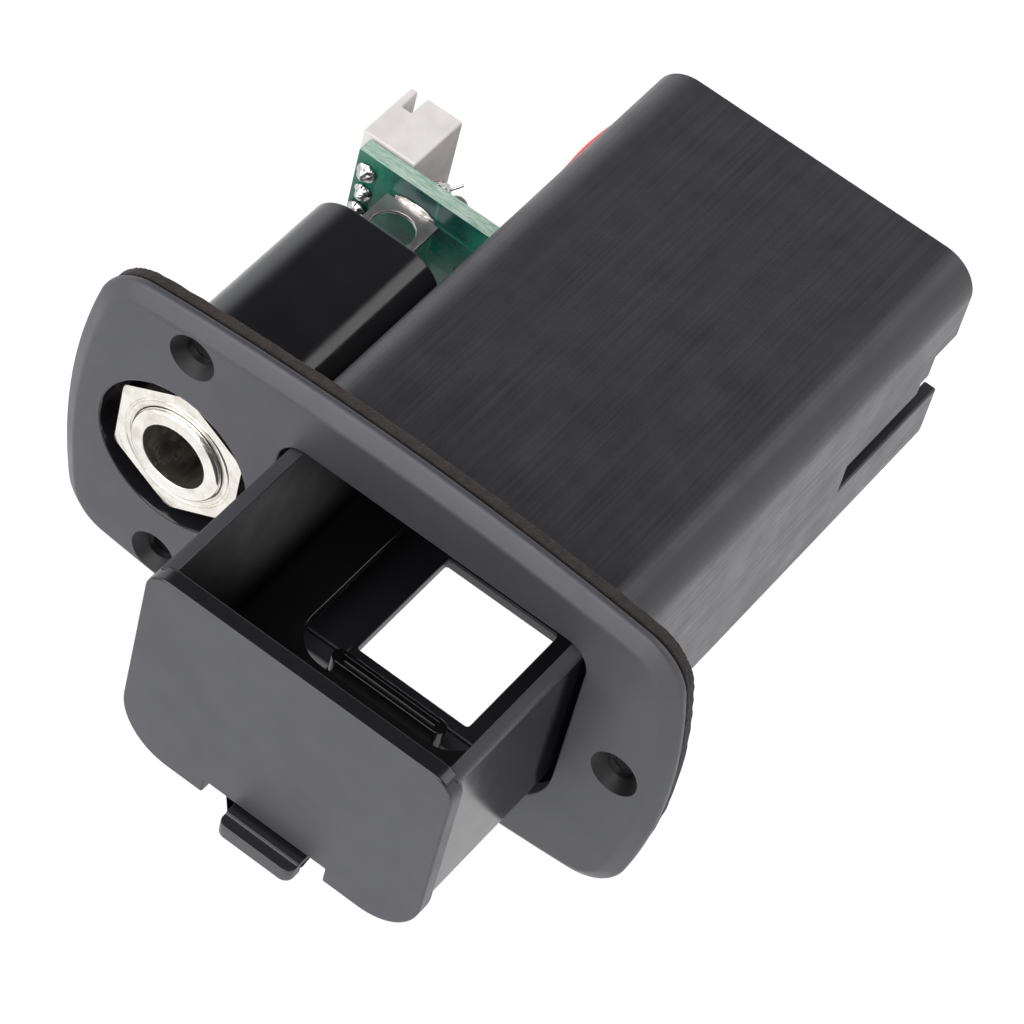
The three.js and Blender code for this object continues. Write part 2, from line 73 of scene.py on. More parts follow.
studioLook = {
    "sunPower": 3.5,
    "sunSpread": 75,  # degrees across, for soft shadows
    "sunFrom": (-0.3, -0.8, 0.9),
    # a long lamp behind and above the jack, for the shoulders' highlights
    "stripAim": (-19.5, 14, 4),  # mm
    "stripFrom": (0.40, 0.60, 0.70),
    "stripPower": 2.0,
    "stripSize": (0.7, 0.42),  # m
    "skyColour": (0.96, 0.97, 1.0),
    "wallPower": 1.35,  # the studio's white walls, bright near the horizon
    "ceilingPower": 0.06,  # and its dark ceiling
    "floorDrop": 110,  # mm of air under the part, which is held by its plate in use
    "floorColour": (0.87, 0.87, 0.87),
}


def addCamera(look):
    azimuth, elevation = math.radians(look["azimuth"]), math.radians(look["elevation"])
    back = Vector((
        math.sin(azimuth) * math.cos(elevation),
        -math.cos(azimuth) * math.cos(elevation),
        math.sin(elevation),
    ))
    data = bpy.data.cameras.new("studioCamera")
    data.sensor_width = 36
    data.lens = look["lens"]
    camera = bpy.data.objects.new("studioCamera", data)
    bpy.context.scene.collection.objects.link(camera)
    camera.rotation_mode = "QUATERNION"
    camera.location = Vector(mm(*look["target"])) + back * mm(look["distance"])
    roll = Quaternion((0, 0, 1), math.radians(look["roll"]))
    camera.rotation_quaternion = (-back).to_track_quat("-Z", "Y") @ roll
    bpy.context.scene.camera = camera


def addLamp(name, kind, power, origin, aim=(0, 0, 0)):
    # one metre from its aim in mm, on the side where origin points
    data = bpy.data.lights.new(name, kind)
    data.energy = power
    lamp = bpy.data.objects.new(name, data)
    bpy.context.scene.collection.objects.link(lamp)
    away = Vector(origin).normalized()
    lamp.location = Vector(mm(*aim)) + away
    lamp.rotation_mode = "QUATERNION"
    lamp.rotation_quaternion = (-away).to_track_quat("-Z", "Y")
    return data


def addLights(look):
    sun = addLamp("softSun", "SUN", look["sunPower"], look["sunFrom"])
    sun.angle = math.radians(look["sunSpread"])
    strip = addLamp("stripLamp", "AREA", look["stripPower"], look["stripFrom"], look["stripAim"])
    strip.shape = "RECTANGLE"
    strip.size, strip.size_y = look["stripSize"]


def addSky(look):
    world = bpy.data.worlds.new("paleStudio")
    world.use_nodes = True
    tree = world.node_tree
    sky = tree.nodes["Background"]
    sky.inputs["Color"].default_value = (*look["skyColour"], 1)
    direction = tree.nodes.new("ShaderNodeTexCoord")
    parts = tree.nodes.new("ShaderNodeSeparateXYZ")
    fade = tree.nodes.new("ShaderNodeMapRange")
    fade.interpolation_type = "SMOOTHSTEP"
    for key, number in (("From Min", 0.3), ("From Max", 0.75),
                        ("To Min", look["wallPower"]), ("To Max", look["ceilingPower"])):
        fade.inputs[key].default_value = number
    tree.links.new(direction.outputs["Generated"], parts.inputs["Vector"])
    tree.links.new(parts.outputs["Z"], fade.inputs["Value"])
    tree.links.new(fade.outputs["Result"], sky.inputs["Strength"])
    bpy.context.scene.world = world
    bpy.context.scene.view_settings.view_transform = "Standard"


def deselectAll():
    if bpy.context.object and bpy.context.object.mode != "OBJECT":
        bpy.ops.object.mode_set(mode="OBJECT")
    bpy.ops.object.select_all(action="DESELECT")


def makeActive(piece):
    deselectAll()
    piece.select_set(True)
    bpy.context.view_layer.objects.active = piece


def applyModifiers(piece):
    makeActive(piece)
    for modifier in list(piece.modifiers):
        bpy.ops.object.modifier_apply(modifier=modifier.name)


def applyPlace(piece):
    makeActive(piece)
    bpy.ops.object.transform_apply(location=True, rotation=True, scale=True)


def editAll(piece):
    # leaves edit mode on, with everything selected
    makeActive(piece)
    bpy.ops.object.mode_set(mode="EDIT")
    bpy.ops.mesh.select_all(action="SELECT")


def selectFaces(piece, wanted):
    # leaves edit mode on, with only the wanted faces selected
    makeActive(piece)
    bpy.ops.object.mode_set(mode="EDIT")
    bpy.ops.mesh.select_all(action="DESELECT")
    bpy.ops.mesh.select_mode(type="FACE")
    bpy.ops.object.mode_set(mode="OBJECT")
    for face in piece.data.polygons:
        face.select = bool(wanted(face))
    bpy.ops.object.mode_set(mode="EDIT")


def selectEdges(piece, wanted):
    # leaves edit mode on, with only the wanted edges selected
    makeActive(piece)
    bpy.ops.object.mode_set(mode="EDIT")
    bpy.ops.mesh.select_all(action="DESELECT")
    bpy.ops.mesh.select_mode(type="EDGE")
    bpy.ops.object.mode_set(mode="OBJECT")
    corners = piece.data.vertices
    for edge in piece.data.edges:
        edge.select = bool(wanted(*(corners[index].co for index in edge.vertices)))
    bpy.ops.object.mode_set(mode="EDIT")


def roundEdges(piece, radius, wanted, segments=10):
    selectEdges(piece, wanted)
    bpy.ops.mesh.bevel(offset=mm(radius), segments=segments, affect="EDGES")
    bpy.ops.object.mode_set(mode="OBJECT")


def alongTop(a, b):
    return abs(a.y - b.y) > mm(1) and a.z > 0


def alongBottom(a, b):
    return abs(a.y - b.y) > mm(1) and a.z < 0


def roundCorners(piece, corners):
    # a block's corners as seen from the front, with one radius for the top and one for the bottom
    top, bottom = corners
    roundEdges(piece, top, alongTop, 14)
    roundEdges(piece, bottom, alongBottom, 16)


def softenEdges(piece, width, angle, segments=3):
    bevel = piece.modifiers.new("softEdges", "BEVEL")
    bevel.width = mm(width)
    bevel.segments = segments
    bevel.limit_method = "ANGLE"
    bevel.angle_limit = math.radians(angle)
    applyModifiers(piece)


def combine(piece, other, operation="DIFFERENCE"):
    joined = piece.modifiers.new("combine", "BOOLEAN")
    joined.operation = operation
    joined.object = other
    joined.solver = "EXACT"
    applyModifiers(piece)
    bpy.data.objects.remove(other)


def blockAt(name, low, high):
    # low and high corners in mm
    deselectAll()
    middle = [(a + b) / 2 for a, b in zip(low, high)]
    bpy.ops.mesh.primitive_cube_add(size=1, location=mm(*middle))
    piece = bpy.context.object
    piece.name = name
    piece.scale = mm(*(b - a for a, b in zip(low, high)))
    applyPlace(piece)
    return piece


def rodAlongY(name, radius, start, end, x, z, endRadius=None, vertices=96):
    deselectAll()
    bpy.ops.mesh.primitive_cone_add(
        vertices=vertices, radius1=mm(radius), radius2=mm(endRadius or radius), depth=mm(end - start),
        location=mm(x, (start + end) / 2, z), rotation=(-math.pi / 2, 0, 0),
    )
    piece = bpy.context.object
    piece.name = name
    applyPlace(piece)
    return piece


def mergeClose(piece):
    editAll(piece)
    bpy.ops.mesh.remove_doubles(threshold=mm(0.002))
    bpy.ops.object.mode_set(mode="OBJECT")


def crispShade(piece, angle=8):
    # for machined shapes: many-sided curves blend, and flat faces keep clean borders
    mergeClose(piece)
    bpy.ops.object.shade_smooth_by_angle(angle=math.radians(angle), keep_sharp_edges=False)


def smoothShade(piece, angle=35):
    # flat faces stay flat, and only the rounded edges between them blend
    makeActive(piece)
    bpy.ops.object.shade_smooth_by_angle(angle=math.radians(angle), keep_sharp_edges=False)
    weighted = piece.modifiers.new("flatFaces", "WEIGHTED_NORMAL")
    weighted.keep_sharp = True
    weighted.weight = 80
    applyModifiers(piece)


def setMaterial(piece, material):
    piece.data.materials.clear()
    piece.data.materials.append(material)


def finishPiece(piece, body, slot, material, *stoodFor):
    setMaterial(piece, material)
    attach(piece, body)
    if stoodFor:
        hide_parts(*stoodFor)


def paintFaces(piece, extra, choose):
    # choose gets a face's middle in mm and its normal, and returns one of the extra materials or None
    for material in extra:
        piece.data.materials.append(material)
    for face in piece.data.polygons:
        chosen = choose(face.center * 1000, face.normal)
        if chosen:
            face.material_index = 1 + extra.index(chosen)


# a merged copy of a frame node, with its flat faces joined and its edges rounded
def softCopy(node, name, rounding, segments=3):
    piece = bpy.data.objects.new(name, nodes[node].data.copy())
    bpy.context.scene.collection.objects.link(piece)
    makeActive(piece)
    bpy.ops.mesh.customdata_custom_splitnormals_clear()
    editAll(piece)
    bpy.ops.mesh.remove_doubles(threshold=mm(0.002))
    bpy.ops.mesh.dissolve_limited(angle_limit=math.radians(0.6))
    bpy.ops.object.mode_set(mode="OBJECT")
    if rounding:
        bevel = piece.modifiers.new("roundEdges", "BEVEL")
        bevel.width = mm(rounding)
        bevel.segments = segments
        bevel.limit_method = "ANGLE"
        bevel.angle_limit = math.radians(28)
        bevel.use_clamp_overlap = False
        applyModifiers(piece)
    smoothShade(piece)
    return piece


class Shader:
    # a Principled material with short ways to add its texture nodes
    def __init__(self, name):
        self.material = bpy.data.materials.new(name)
        self.material.use_nodes = True
        self.tree = self.material.node_tree
        self.surface = self.tree.nodes["Principled BSDF"]
        self.place = self.tree.nodes.new("ShaderNodeTexCoord").outputs["Object"]

    def node(self, kind, **settings):
        made = self.tree.nodes.new(kind)
        for key, value in settings.items():
            setattr(made, key, value)
        return made

    def link(self, output, target):
        self.tree.links.new(output, target)

    def mapped(self, scale=(1, 1, 1), centre=(0, 0, 0), turn=(0, 0, 0)):
        mapping = self.node("ShaderNodeMapping")
        mapping.inputs["Scale"].default_value = scale
        mapping.inputs["Location"].default_value = centre
        mapping.inputs["Rotation"].default_value = turn
        self.link(self.place, mapping.inputs["Vector"])
        return mapping.outputs["Vector"]

    def noise(self, size, detail=3.0, roughness=0.5, stretch=(1, 1, 1)):
        # size is the width of one blotch in mm, and stretch makes it longer along an axis
        noise = self.node("ShaderNodeTexNoise")
        noise.inputs["Scale"].default_value = 1.0
        noise.inputs["Detail"].default_value = detail
        noise.inputs["Roughness"].default_value = roughness
        self.link(self.mapped([1000 / (size * s) for s in stretch]), noise.inputs["Vector"])
        return noise.outputs["Fac"]

    def ramp(self, value, low, high, start=0.3, end=0.7):
        ramp = self.node("ShaderNodeValToRGB")
        ramp.color_ramp.elements[0].position = start
        ramp.color_ramp.elements[1].position = end
        ramp.color_ramp.elements[0].color = (*low, 1)
        ramp.color_ramp.elements[1].color = (*high, 1)
        self.link(value, ramp.inputs["Fac"])
        return ramp.outputs["Color"]

    def span(self, value, low, high, start=0.3, end=0.7):
        span = self.node("ShaderNodeMapRange")
        for key, number in (("From Min", start), ("From Max", end), ("To Min", low), ("To Max", high)):
            span.inputs[key].default_value = number
        self.link(value, span.inputs["Value"])
        return span.outputs["Result"]

    def maths(self, operation, first, second):
        maths = self.node("ShaderNodeMath", operation=operation)
        for slot, value in ((0, first), (1, second)):
            if isinstance(value, (int, float)):
                maths.inputs[slot].default_value = value
            else:
                self.link(value, maths.inputs[slot])
        return maths.outputs["Value"]

    def blend(self, first, second, share):
        # two noises added, with the second one's share
        rest = self.maths("MULTIPLY", first, 1 - share)
        return self.maths("ADD", rest, self.maths("MULTIPLY", second, share))

    def mix(self, share, first, second):
        mix = self.node("ShaderNodeMix", data_type="RGBA")
        self.link(share, mix.inputs["Factor"])
        for slot, value in ((6, first), (7, second)):
            if isinstance(value, tuple):
                mix.inputs[slot].default_value = (*value, 1)
            else:
                self.link(value, mix.inputs[slot])
        return mix.outputs[2]

    def bumps(self, *layers):
        # each layer is (height, depth in mm, strength)
        normal = None
        for height, depth, strength in layers:
            bump = self.node("ShaderNodeBump")
            bump.inputs["Distance"].default_value = mm(depth)
            bump.inputs["Strength"].default_value = strength
            self.link(height, bump.inputs["Height"])
            if normal:
                self.link(normal, bump.inputs["Normal"])
            normal = bump.outputs["Normal"]
        self.link(normal, self.surface.inputs["Normal"])

    def fixed(self, **values):
        for key, value in values.items():
            self.surface.inputs[key.replace("_", " ")].default_value = value

    def feed(self, **outputs):
        for key, output in outputs.items():
            self.link(output, self.surface.inputs[key.replace("_", " ")])


def plasticMaterial(name, look):
    shader = Shader(name)
    blotch = shader.noise(9, detail=4)
    speck = shader.noise(0.35, detail=2)
    dark = look["colour"]
    pale = tuple(channel * look["variation"] for channel in dark)
    shader.feed(Base_Color=shader.ramp(shader.blend(blotch, speck, 0.3), dark, pale))
    low, high = look["roughness"]
    layers = [(shader.noise(look["grain"], detail=2), look["grainDepth"], 0.5)]
    roughness = shader.span(shader.noise(3.5, detail=5), low, high)
    if "streak" in look:
        streaks = shader.noise(look["streak"], detail=3, stretch=(1, 90, 1))
        layers.append((streaks, look["streakDepth"], 0.6))
        roughness = shader.maths("ADD", roughness, shader.span(streaks, -0.06, 0.06))
    shader.feed(Roughness=roughness)
    shader.bumps(*layers)
    shader.fixed(IOR=look["ior"])
    return shader.material


def foamMaterial(name, look):
    shader = Shader(name)
    pores = shader.node("ShaderNodeTexVoronoi", feature="F1")
    pores.inputs["Scale"].default_value = 1.0
    shader.link(shader.mapped([1000 / look["pore"]] * 3), pores.inputs["Vector"])
    fibre = shader.noise(look["pore"] * 2.5, detail=6, roughness=0.7)
    shader.feed(Base_Color=shader.ramp(fibre, look["dark"], look["pale"], 0.35, 0.75))
    shader.bumps((pores.outputs["Distance"], look["depth"], 0.7), (fibre, look["depth"], 0.6))
    shader.fixed(Roughness=0.95)
    shader.fixed(Sheen_Weight=look["sheen"])
    return shader.material


# metal with fine lines: rings round an axis along Y for turned pieces, or streaks for rolled sheet.
def metalMaterial(name, look):
    shader = Shader(name)
    if "turnedAbout" in look:
        centreX, centreZ = look["turnedAbout"]
        rings = shader.node("ShaderNodeTexWave", wave_type="RINGS", rings_direction="Y")
        rings.inputs["Scale"].default_value = 1.0
        rings.inputs["Distortion"].default_value = 1.5
        rings.inputs["Detail"].default_value = 2.0
        scale = 1000 / look["line"] / 20  # the texture draws about 20 rings in a unit
        centre = (-mm(centreX) * scale, 0, -mm(centreZ) * scale)
        shader.link(shader.mapped([scale] * 3, centre), rings.inputs["Vector"])
        lines = rings.outputs["Fac"]
    else:
        lines = shader.noise(look["line"], detail=3, stretch=look["stretch"])
    stain = shader.noise(1.8, detail=6, roughness=0.65)
    shader.feed(Base_Color=shader.ramp(stain, look["dark"], look["colour"], 0.3, 0.55))
    low, high = look["roughness"]
    mottle = shader.maths("MULTIPLY", shader.maths("ADD", lines, stain), 0.5)
    shader.feed(Roughness=shader.span(mottle, low, high))
    shader.bumps((lines, look["depth"], 0.4), (shader.noise(0.5, detail=4), look["depth"], 0.3))
    shader.fixed(Metallic=1.0)
    return shader.material


def boardMaterial(name, look):
    # solder mask over copper: tracks run under it as slightly paler, raised lines
    shader = Shader(name)
    tracks = shader.node("ShaderNodeTexBrick", offset=0.37, squash=0.6)
    turned = shader.mapped((1, 1, 1), (0, 0, 0), (math.pi / 2, 0, 0))
    shader.link(turned, tracks.inputs["Vector"])
    for key, value in (("Scale", 1.0), ("Mortar Size", mm(0.16)), ("Mortar Smooth", 0.2),
                       ("Brick Width", mm(8.6)), ("Row Height", mm(4.7))):
        tracks.inputs[key].default_value = value
    copper = tracks.outputs["Fac"]
    weave = shader.noise(0.25, detail=2)
    pour = shader.noise(5.5, detail=1)
    mask = shader.ramp(shader.blend(weave, pour, 0.8), look["dark"], look["colour"], 0.42, 0.56)
    shader.feed(Base_Color=shader.mix(copper, mask, look["track"]))
    shader.feed(Roughness=shader.span(shader.noise(2, detail=3), 0.22, 0.4))
    shader.bumps((copper, 0.03, 0.6), (weave, 0.01, 0.3))
    return shader.material


def laminateMaterial(name, look):
    shader = Shader(name)
    layers = shader.noise(0.13, detail=5, roughness=0.65, stretch=(9, 1, 9))
    shader.feed(Base_Color=shader.ramp(layers, look["dark"], look["colour"], 0.3, 0.7))
    shader.bumps((layers, 0.03, 0.5))
    shader.fixed(Roughness=0.75)
    return shader.material


def nylonMaterial(name, look):
    shader = Shader(name)
    cloud = shader.noise(2.5, detail=4)
    shader.feed(Base_Color=shader.ramp(cloud, look["dark"], look["colour"]))
    shader.feed(Roughness=shader.span(shader.noise(1.2), 0.38, 0.55))
    shader.bumps((shader.noise(0.2, detail=2), 0.01, 0.5), (cloud, 0.04, 0.3))
    shader.fixed(Subsurface_Weight=0.25)
    shader.fixed(Subsurface_Radius=mm(0.8, 0.7, 0.6))
    return shader.material


def insulationMaterial(name, look):
    shader = Shader(name)
    cloud = shader.noise(1.5, detail=4)
    shader.feed(Base_Color=shader.ramp(cloud, look["dark"], look["colour"]))
    shader.feed(Roughness=shader.span(shader.noise(0.8), 0.3, 0.48))
    shader.bumps((shader.noise(0.3, detail=3), 0.015, 0.5))
    return shader.material


def floorMaterial(name, colour):
    shader = Shader(name)
    cloud = shader.noise(60, detail=3)
    shader.feed(Base_Color=shader.ramp(cloud, tuple(c * 0.99 for c in colour), colour))
    shader.fixed(Roughness=0.9)
    return shader.material


jackX = -19.5  # mm, the axis of the jack

blackSatin = plasticMaterial("blackSatin", {
    "colour": (0.037, 0.037, 0.043), "variation": 1.15, "roughness": (0.38, 0.48),
    "grain": 0.12, "grainDepth": 0.010, "ior": 1.5,
})
blackBrushed = plasticMaterial("blackBrushed", {
    "colour": (0.017, 0.0165, 0.020), "variation": 1.25, "roughness": (0.34, 0.44),
    "grain": 0.14, "grainDepth": 0.010, "ior": 1.5, "streak": 0.22, "streakDepth": 0.02,
})
blackGloss = plasticMaterial("blackGloss", {
    "colour": (0.008, 0.008, 0.009), "variation": 1.3, "roughness": (0.12, 0.20),
    "grain": 0.5, "grainDepth": 0.003, "ior": 1.52,
})
# the darkest dull black, used as painted shade in the screw countersinks and in the drawer's well
paintedShadeBlack = plasticMaterial("paintedShadeBlack", {
    "colour": (0.006, 0.006, 0.006), "variation": 1.3, "roughness": (0.42, 0.52),
    "grain": 0.25, "grainDepth": 0.006, "ior": 1.33,
})
# painted light: a pale satin put on the latch web's top, which really lies in shade
paintedLightSatin = plasticMaterial("paintedLightSatin", {
    "colour": (0.32, 0.31, 0.31), "variation": 1.1, "roughness": (0.4, 0.5),
    "grain": 0.2, "grainDepth": 0.006, "ior": 1.5,
})
foam = foamMaterial("foamSheet", {
    "pore": 0.3, "dark": (0.010, 0.0075, 0.007), "pale": (0.032, 0.024, 0.021), "depth": 0.12, "sheen": 0.04,
})
roughFloor = foamMaterial("roughFloor", {
    "pore": 0.22, "dark": (0.012, 0.011, 0.010), "pale": (0.20, 0.19, 0.18), "depth": 0.2, "sheen": 0.1,
})
turnedNickel = metalMaterial("turnedNickel", {
    "colour": (0.84, 0.81, 0.75), "dark": (0.62, 0.58, 0.52), "roughness": (0.10, 0.30),
    "turnedAbout": (jackX, 0), "line": 0.12, "depth": 0.012,
})
springSteel = metalMaterial("springSteel", {
    "colour": (0.72, 0.71, 0.68), "dark": (0.50, 0.49, 0.46), "roughness": (0.18, 0.34),
    "line": 0.08, "stretch": (1, 40, 40), "depth": 0.01,
})
springBronze = metalMaterial("springBronze", {
    "colour": (0.70, 0.49, 0.22), "dark": (0.42, 0.27, 0.10), "roughness": (0.20, 0.36),
    "line": 0.08, "stretch": (1, 40, 1), "depth": 0.01,
})
tinnedSheet = metalMaterial("tinnedSheet", {
    "colour": (0.52, 0.48, 0.49), "dark": (0.36, 0.33, 0.34), "roughness": (0.28, 0.46),
    "line": 0.12, "stretch": (1, 50, 1), "depth": 0.015,
})
solder = metalMaterial("solder", {
    "colour": (0.58, 0.57, 0.56), "dark": (0.20, 0.19, 0.19), "roughness": (0.14, 0.38),
    "line": 0.5, "stretch": (1, 1, 1), "depth": 0.05,
})
solderPad = metalMaterial("solderPad", {
    "colour": (0.74, 0.70, 0.67), "dark": (0.50, 0.46, 0.44), "roughness": (0.42, 0.55),
    "line": 0.3, "stretch": (6, 1, 1), "depth": 0.02,
})
boardMask = boardMaterial("boardMask", {
    "dark": (0.0025, 0.040, 0.030), "colour": (0.0035, 0.115, 0.068), "track": (0.004, 0.100, 0.065),
})
boardEdge = laminateMaterial("boardEdge", {"dark": (0.09, 0.22, 0.155), "colour": (0.46, 0.54, 0.48)})
whiteNylon = nylonMaterial("whiteNylon", {"dark": (0.55, 0.52, 0.50), "colour": (0.64, 0.61, 0.59)})
redJacket = insulationMaterial("redJacket", {"dark": (0.60, 0.028, 0.020), "colour": (0.76, 0.050, 0.035)})
blackJacket = insulationMaterial("blackJacket", {
    "dark": (0.010, 0.010, 0.011), "colour": (0.022, 0.022, 0.024),
})
print("materials made")


def addFloor(look, low):
    bpy.ops.mesh.primitive_plane_add(size=4, location=(0, 0, low - mm(look["floorDrop"])))
    floor = bpy.context.object
    floor.name = "studioFloor"
    applyPlace(floor)
    setMaterial(floor, floorMaterial("paleFloor", look["floorColour"]))


addCamera(cameraLook)
addLights(studioLook)
addSky(studioLook)
addFloor(studioLook, cadBounds[0].z)
print("camera, lights and floor ready")


# pieces that keep the frame's shape, with rounded edges
# node: (piece name, body, record slot, material, rounding in mm)
softPieces = {
    "battery_box": ("batteryBox", "base", "black_abs", blackBrushed, 0.22),
    "contact_carrier": ("contactCarrier", "base", "black_abs", blackSatin, 0.15),
    "latch_arm": ("latchArm", "latch", "black_nylon", blackSatin, 0.14),
    "jack_body": ("jackBody", "base", "black_nylon", blackGloss, 0.2),
    "jack_end_cap": ("jackEndCap", "base", "black_nylon", blackGloss, 0.1),
    "jack_bushing": ("jackBushing", "base", "nickel", turnedNickel, 0.12),
    "flat_washer": ("flatWasher", "base", "nickel", turnedNickel, 0.06),
    "ground_lug": ("groundLug", "base", "tinned_metal", tinnedSheet, 0.06),
    "tip_terminal": ("tipTerminal", "base", "tinned_metal", tinnedSheet, 0.05),
    "ring_terminal": ("ringTerminal", "base", "tinned_metal", tinnedSheet, 0.05),
    "tip_spring": ("tipSpring", "tip_leaf", "spring_bronze", springBronze, 0.05),
    "ring_spring": ("ringSpring", "ring_leaf", "spring_bronze", springBronze, 0.05),
    "positive_contact": ("positiveContact", "positive_leaf", "spring_steel", springSteel, 0.06),
    "negative_contact": ("negativeContact", "negative_leaf", "spring_steel", springSteel, 0.06),
    "header_housing": ("headerHousing", "base", "white_nylon", whiteNylon, 0.2),
    "header_pin_1": ("headerPin1", "base", "tinned_metal", tinnedSheet, 0.08),
    "header_pin_2": ("headerPin2", "base", "tinned_metal", tinnedSheet, 0.08),
    "header_pin_3": ("headerPin3", "base", "tinned_metal", tinnedSheet, 0.08),
}

for node, (name, body, slot, material, rounding) in softPieces.items():
    piece = softCopy(node, name, rounding)
    finishPiece(piece, body, slot, material, node)
print("soft-edged pieces ready")


def grooveRound(piece, radius, depth, along):
    # a turned groove about the jack's axis
    bpy.ops.mesh.primitive_torus_add(
        major_radius=mm(radius), minor_radius=mm(depth), major_segments=96, minor_segments=12,
        location=mm(jackX, along, 0), rotation=(math.pi / 2, 0, 0),
    )
    ring = bpy.context.object
    applyPlace(ring)
    combine(piece, ring)
    smoothShade(piece)


nutLook = {
    "acrossFlats": 12.7,
    "bore": 4.75,
    "crown": 0.75,  # how far the cone that rounds the corners reaches past the flats
    "slope": 1.6,
    "groove": 5.45,
}


def hexNut(look):
    low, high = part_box("hex_nut")
    front, rear = low.y * 1000, high.y * 1000
    across = look["acrossFlats"] / 2
    nut = rodAlongY("hexNut", across / math.cos(math.pi / 6), front, rear, jackX, 0, vertices=6)
    if high.x - low.x > high.z - low.z:
        editAll(nut)
        bpy.ops.transform.rotate(value=math.pi / 6, orient_axis="Y", center_override=mm(jackX, front, 0))
        bpy.ops.object.mode_set(mode="OBJECT")
    crown = across + look["crown"]
    deep = rear - front + 1
    combine(nut, rodAlongY("crown", crown - look["slope"] * 0.5, front - 0.5, front + deep, jackX, 0,
                           crown + look["slope"] * deep), "INTERSECT")
    combine(nut, rodAlongY("bore", look["bore"], front - 1, rear + 1, jackX, 0))
    softenEdges(nut, 0.07, 20, 2)
    grooveRound(nut, look["groove"], 0.16, front)
    grooveRound(nut, look["groove"] - 0.5, 0.09, front)
    finishPiece(nut, "base", "nickel", turnedNickel, "hex_nut")


hexNut(nutLook)
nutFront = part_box("hex_nut")[0].y * 1000
grooveRound(bpy.data.objects["jackBushing"], 4.72, 0.14, nutFront - 0.18)
print("grooves turned")


# faceplate, with sizes in mm
plateLook = {
    "longRadius": 208,
    "endRadius": 55,
    "cornerRadius": 5.5,
    "thickness": 1.7,
    "bandWidth": 1.5,  # the sloping band round the front
    "bandDepth": 1.0,
    "recessRadius": 7.75,
    "recessFloor": 0.65,
    "cupRadius": 9.3,
    "floorHole": 4.9,
    "screwPlaces": ((jackX, 13.3), (jackX, -13.3), (26.7, 0)),  # x and z
    "screwHole": 1.3,
    "screwHead": 2.3,
    "drawerX": 5.9,
    "openingSize": (31.4, 23.0),
    "openingCorners": (2.5, 5.7),  # top and bottom
}


def plateBlank(look, low, high):
    # a quarter of the outline is spun from one point, mirrored twice, filled and given its thickness
    longCentre = look["longRadius"] - high.z * 1000
    endCentre = look["endRadius"] - high.x * 1000
    toLong = look["longRadius"] - look["cornerRadius"]
    toEnd = look["endRadius"] - look["cornerRadius"]
    # the corner's centre, where the two arcs drawn in by its radius cross
    between = math.hypot(longCentre, endCentre)
    along = (toLong ** 2 - toEnd ** 2 + between ** 2) / (2 * between)
    aside = math.sqrt(toLong ** 2 - along ** 2)
    cornerX = (-endCentre * along + longCentre * aside) / between
    cornerZ = -longCentre + (longCentre * along + endCentre * aside) / between
    endSwing = math.atan2(cornerZ, cornerX + endCentre)
    longStart = math.atan2(cornerZ + longCentre, cornerX)
    rear = low.y * 1000 + look["thickness"]
    deselectAll()
    bpy.ops.mesh.primitive_plane_add(size=mm(1), location=(high.x, mm(rear), 0))
    blank = bpy.context.object
    blank.name = "facePlate"
    applyPlace(blank)
    bpy.ops.object.mode_set(mode="EDIT")
    bpy.ops.mesh.select_mode(type="VERT")
    bpy.ops.mesh.select_all(action="SELECT")
    bpy.ops.mesh.merge(type="CENTER")
    # each arc's centre in x and z, swing and number of steps
    arcs = (
        (-endCentre, 0, endSwing, 14),
        (cornerX, cornerZ, longStart - endSwing, 14),
        (0, -longCentre, math.pi / 2 - longStart, 24),
    )
    for x, z, swing, steps in arcs:
        bpy.ops.mesh.spin(steps=steps, angle=swing, center=mm(x, rear, z), axis=(0, 1, 0))
    bpy.ops.object.mode_set(mode="OBJECT")
    mirror = blank.modifiers.new("mirror", "MIRROR")
    mirror.use_axis = (True, False, True)
    mirror.merge_threshold = mm(0.005)
    applyModifiers(blank)
    editAll(blank)
    bpy.ops.mesh.remove_doubles(threshold=mm(0.005))
    bpy.ops.mesh.edge_face_add()
    bpy.ops.mesh.extrude_region_move(
        TRANSFORM_OT_translate={"value": (0, -mm(look["thickness"] - look["bandDepth"]), 0)})
    bpy.ops.mesh.inset(thickness=mm(look["bandWidth"]), depth=0)
    bpy.ops.transform.translate(value=(0, -mm(look["bandDepth"]), 0))
    bpy.ops.mesh.select_all(action="SELECT")
    bpy.ops.mesh.normals_make_consistent(inside=False)
    bpy.ops.object.mode_set(mode="OBJECT")
    return blank


def jackCup(look, low, high):
    # the round pocket behind the plate, cut away where the drawer's box begins
    rear = low.y * 1000 + look["thickness"]
    cup = rodAlongY("jackCup", look["cupRadius"], rear - 0.4, high.y * 1000, jackX, 0)
    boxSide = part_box("battery_box")[0].x - mm(0.2)
    editAll(cup)
    bpy.ops.mesh.bisect(plane_co=(boxSide, 0, 0), plane_no=(1, 0, 0), clear_outer=True, use_fill=True,
                        threshold=mm(0.0005))
    bpy.ops.object.mode_set(mode="OBJECT")
    return cup


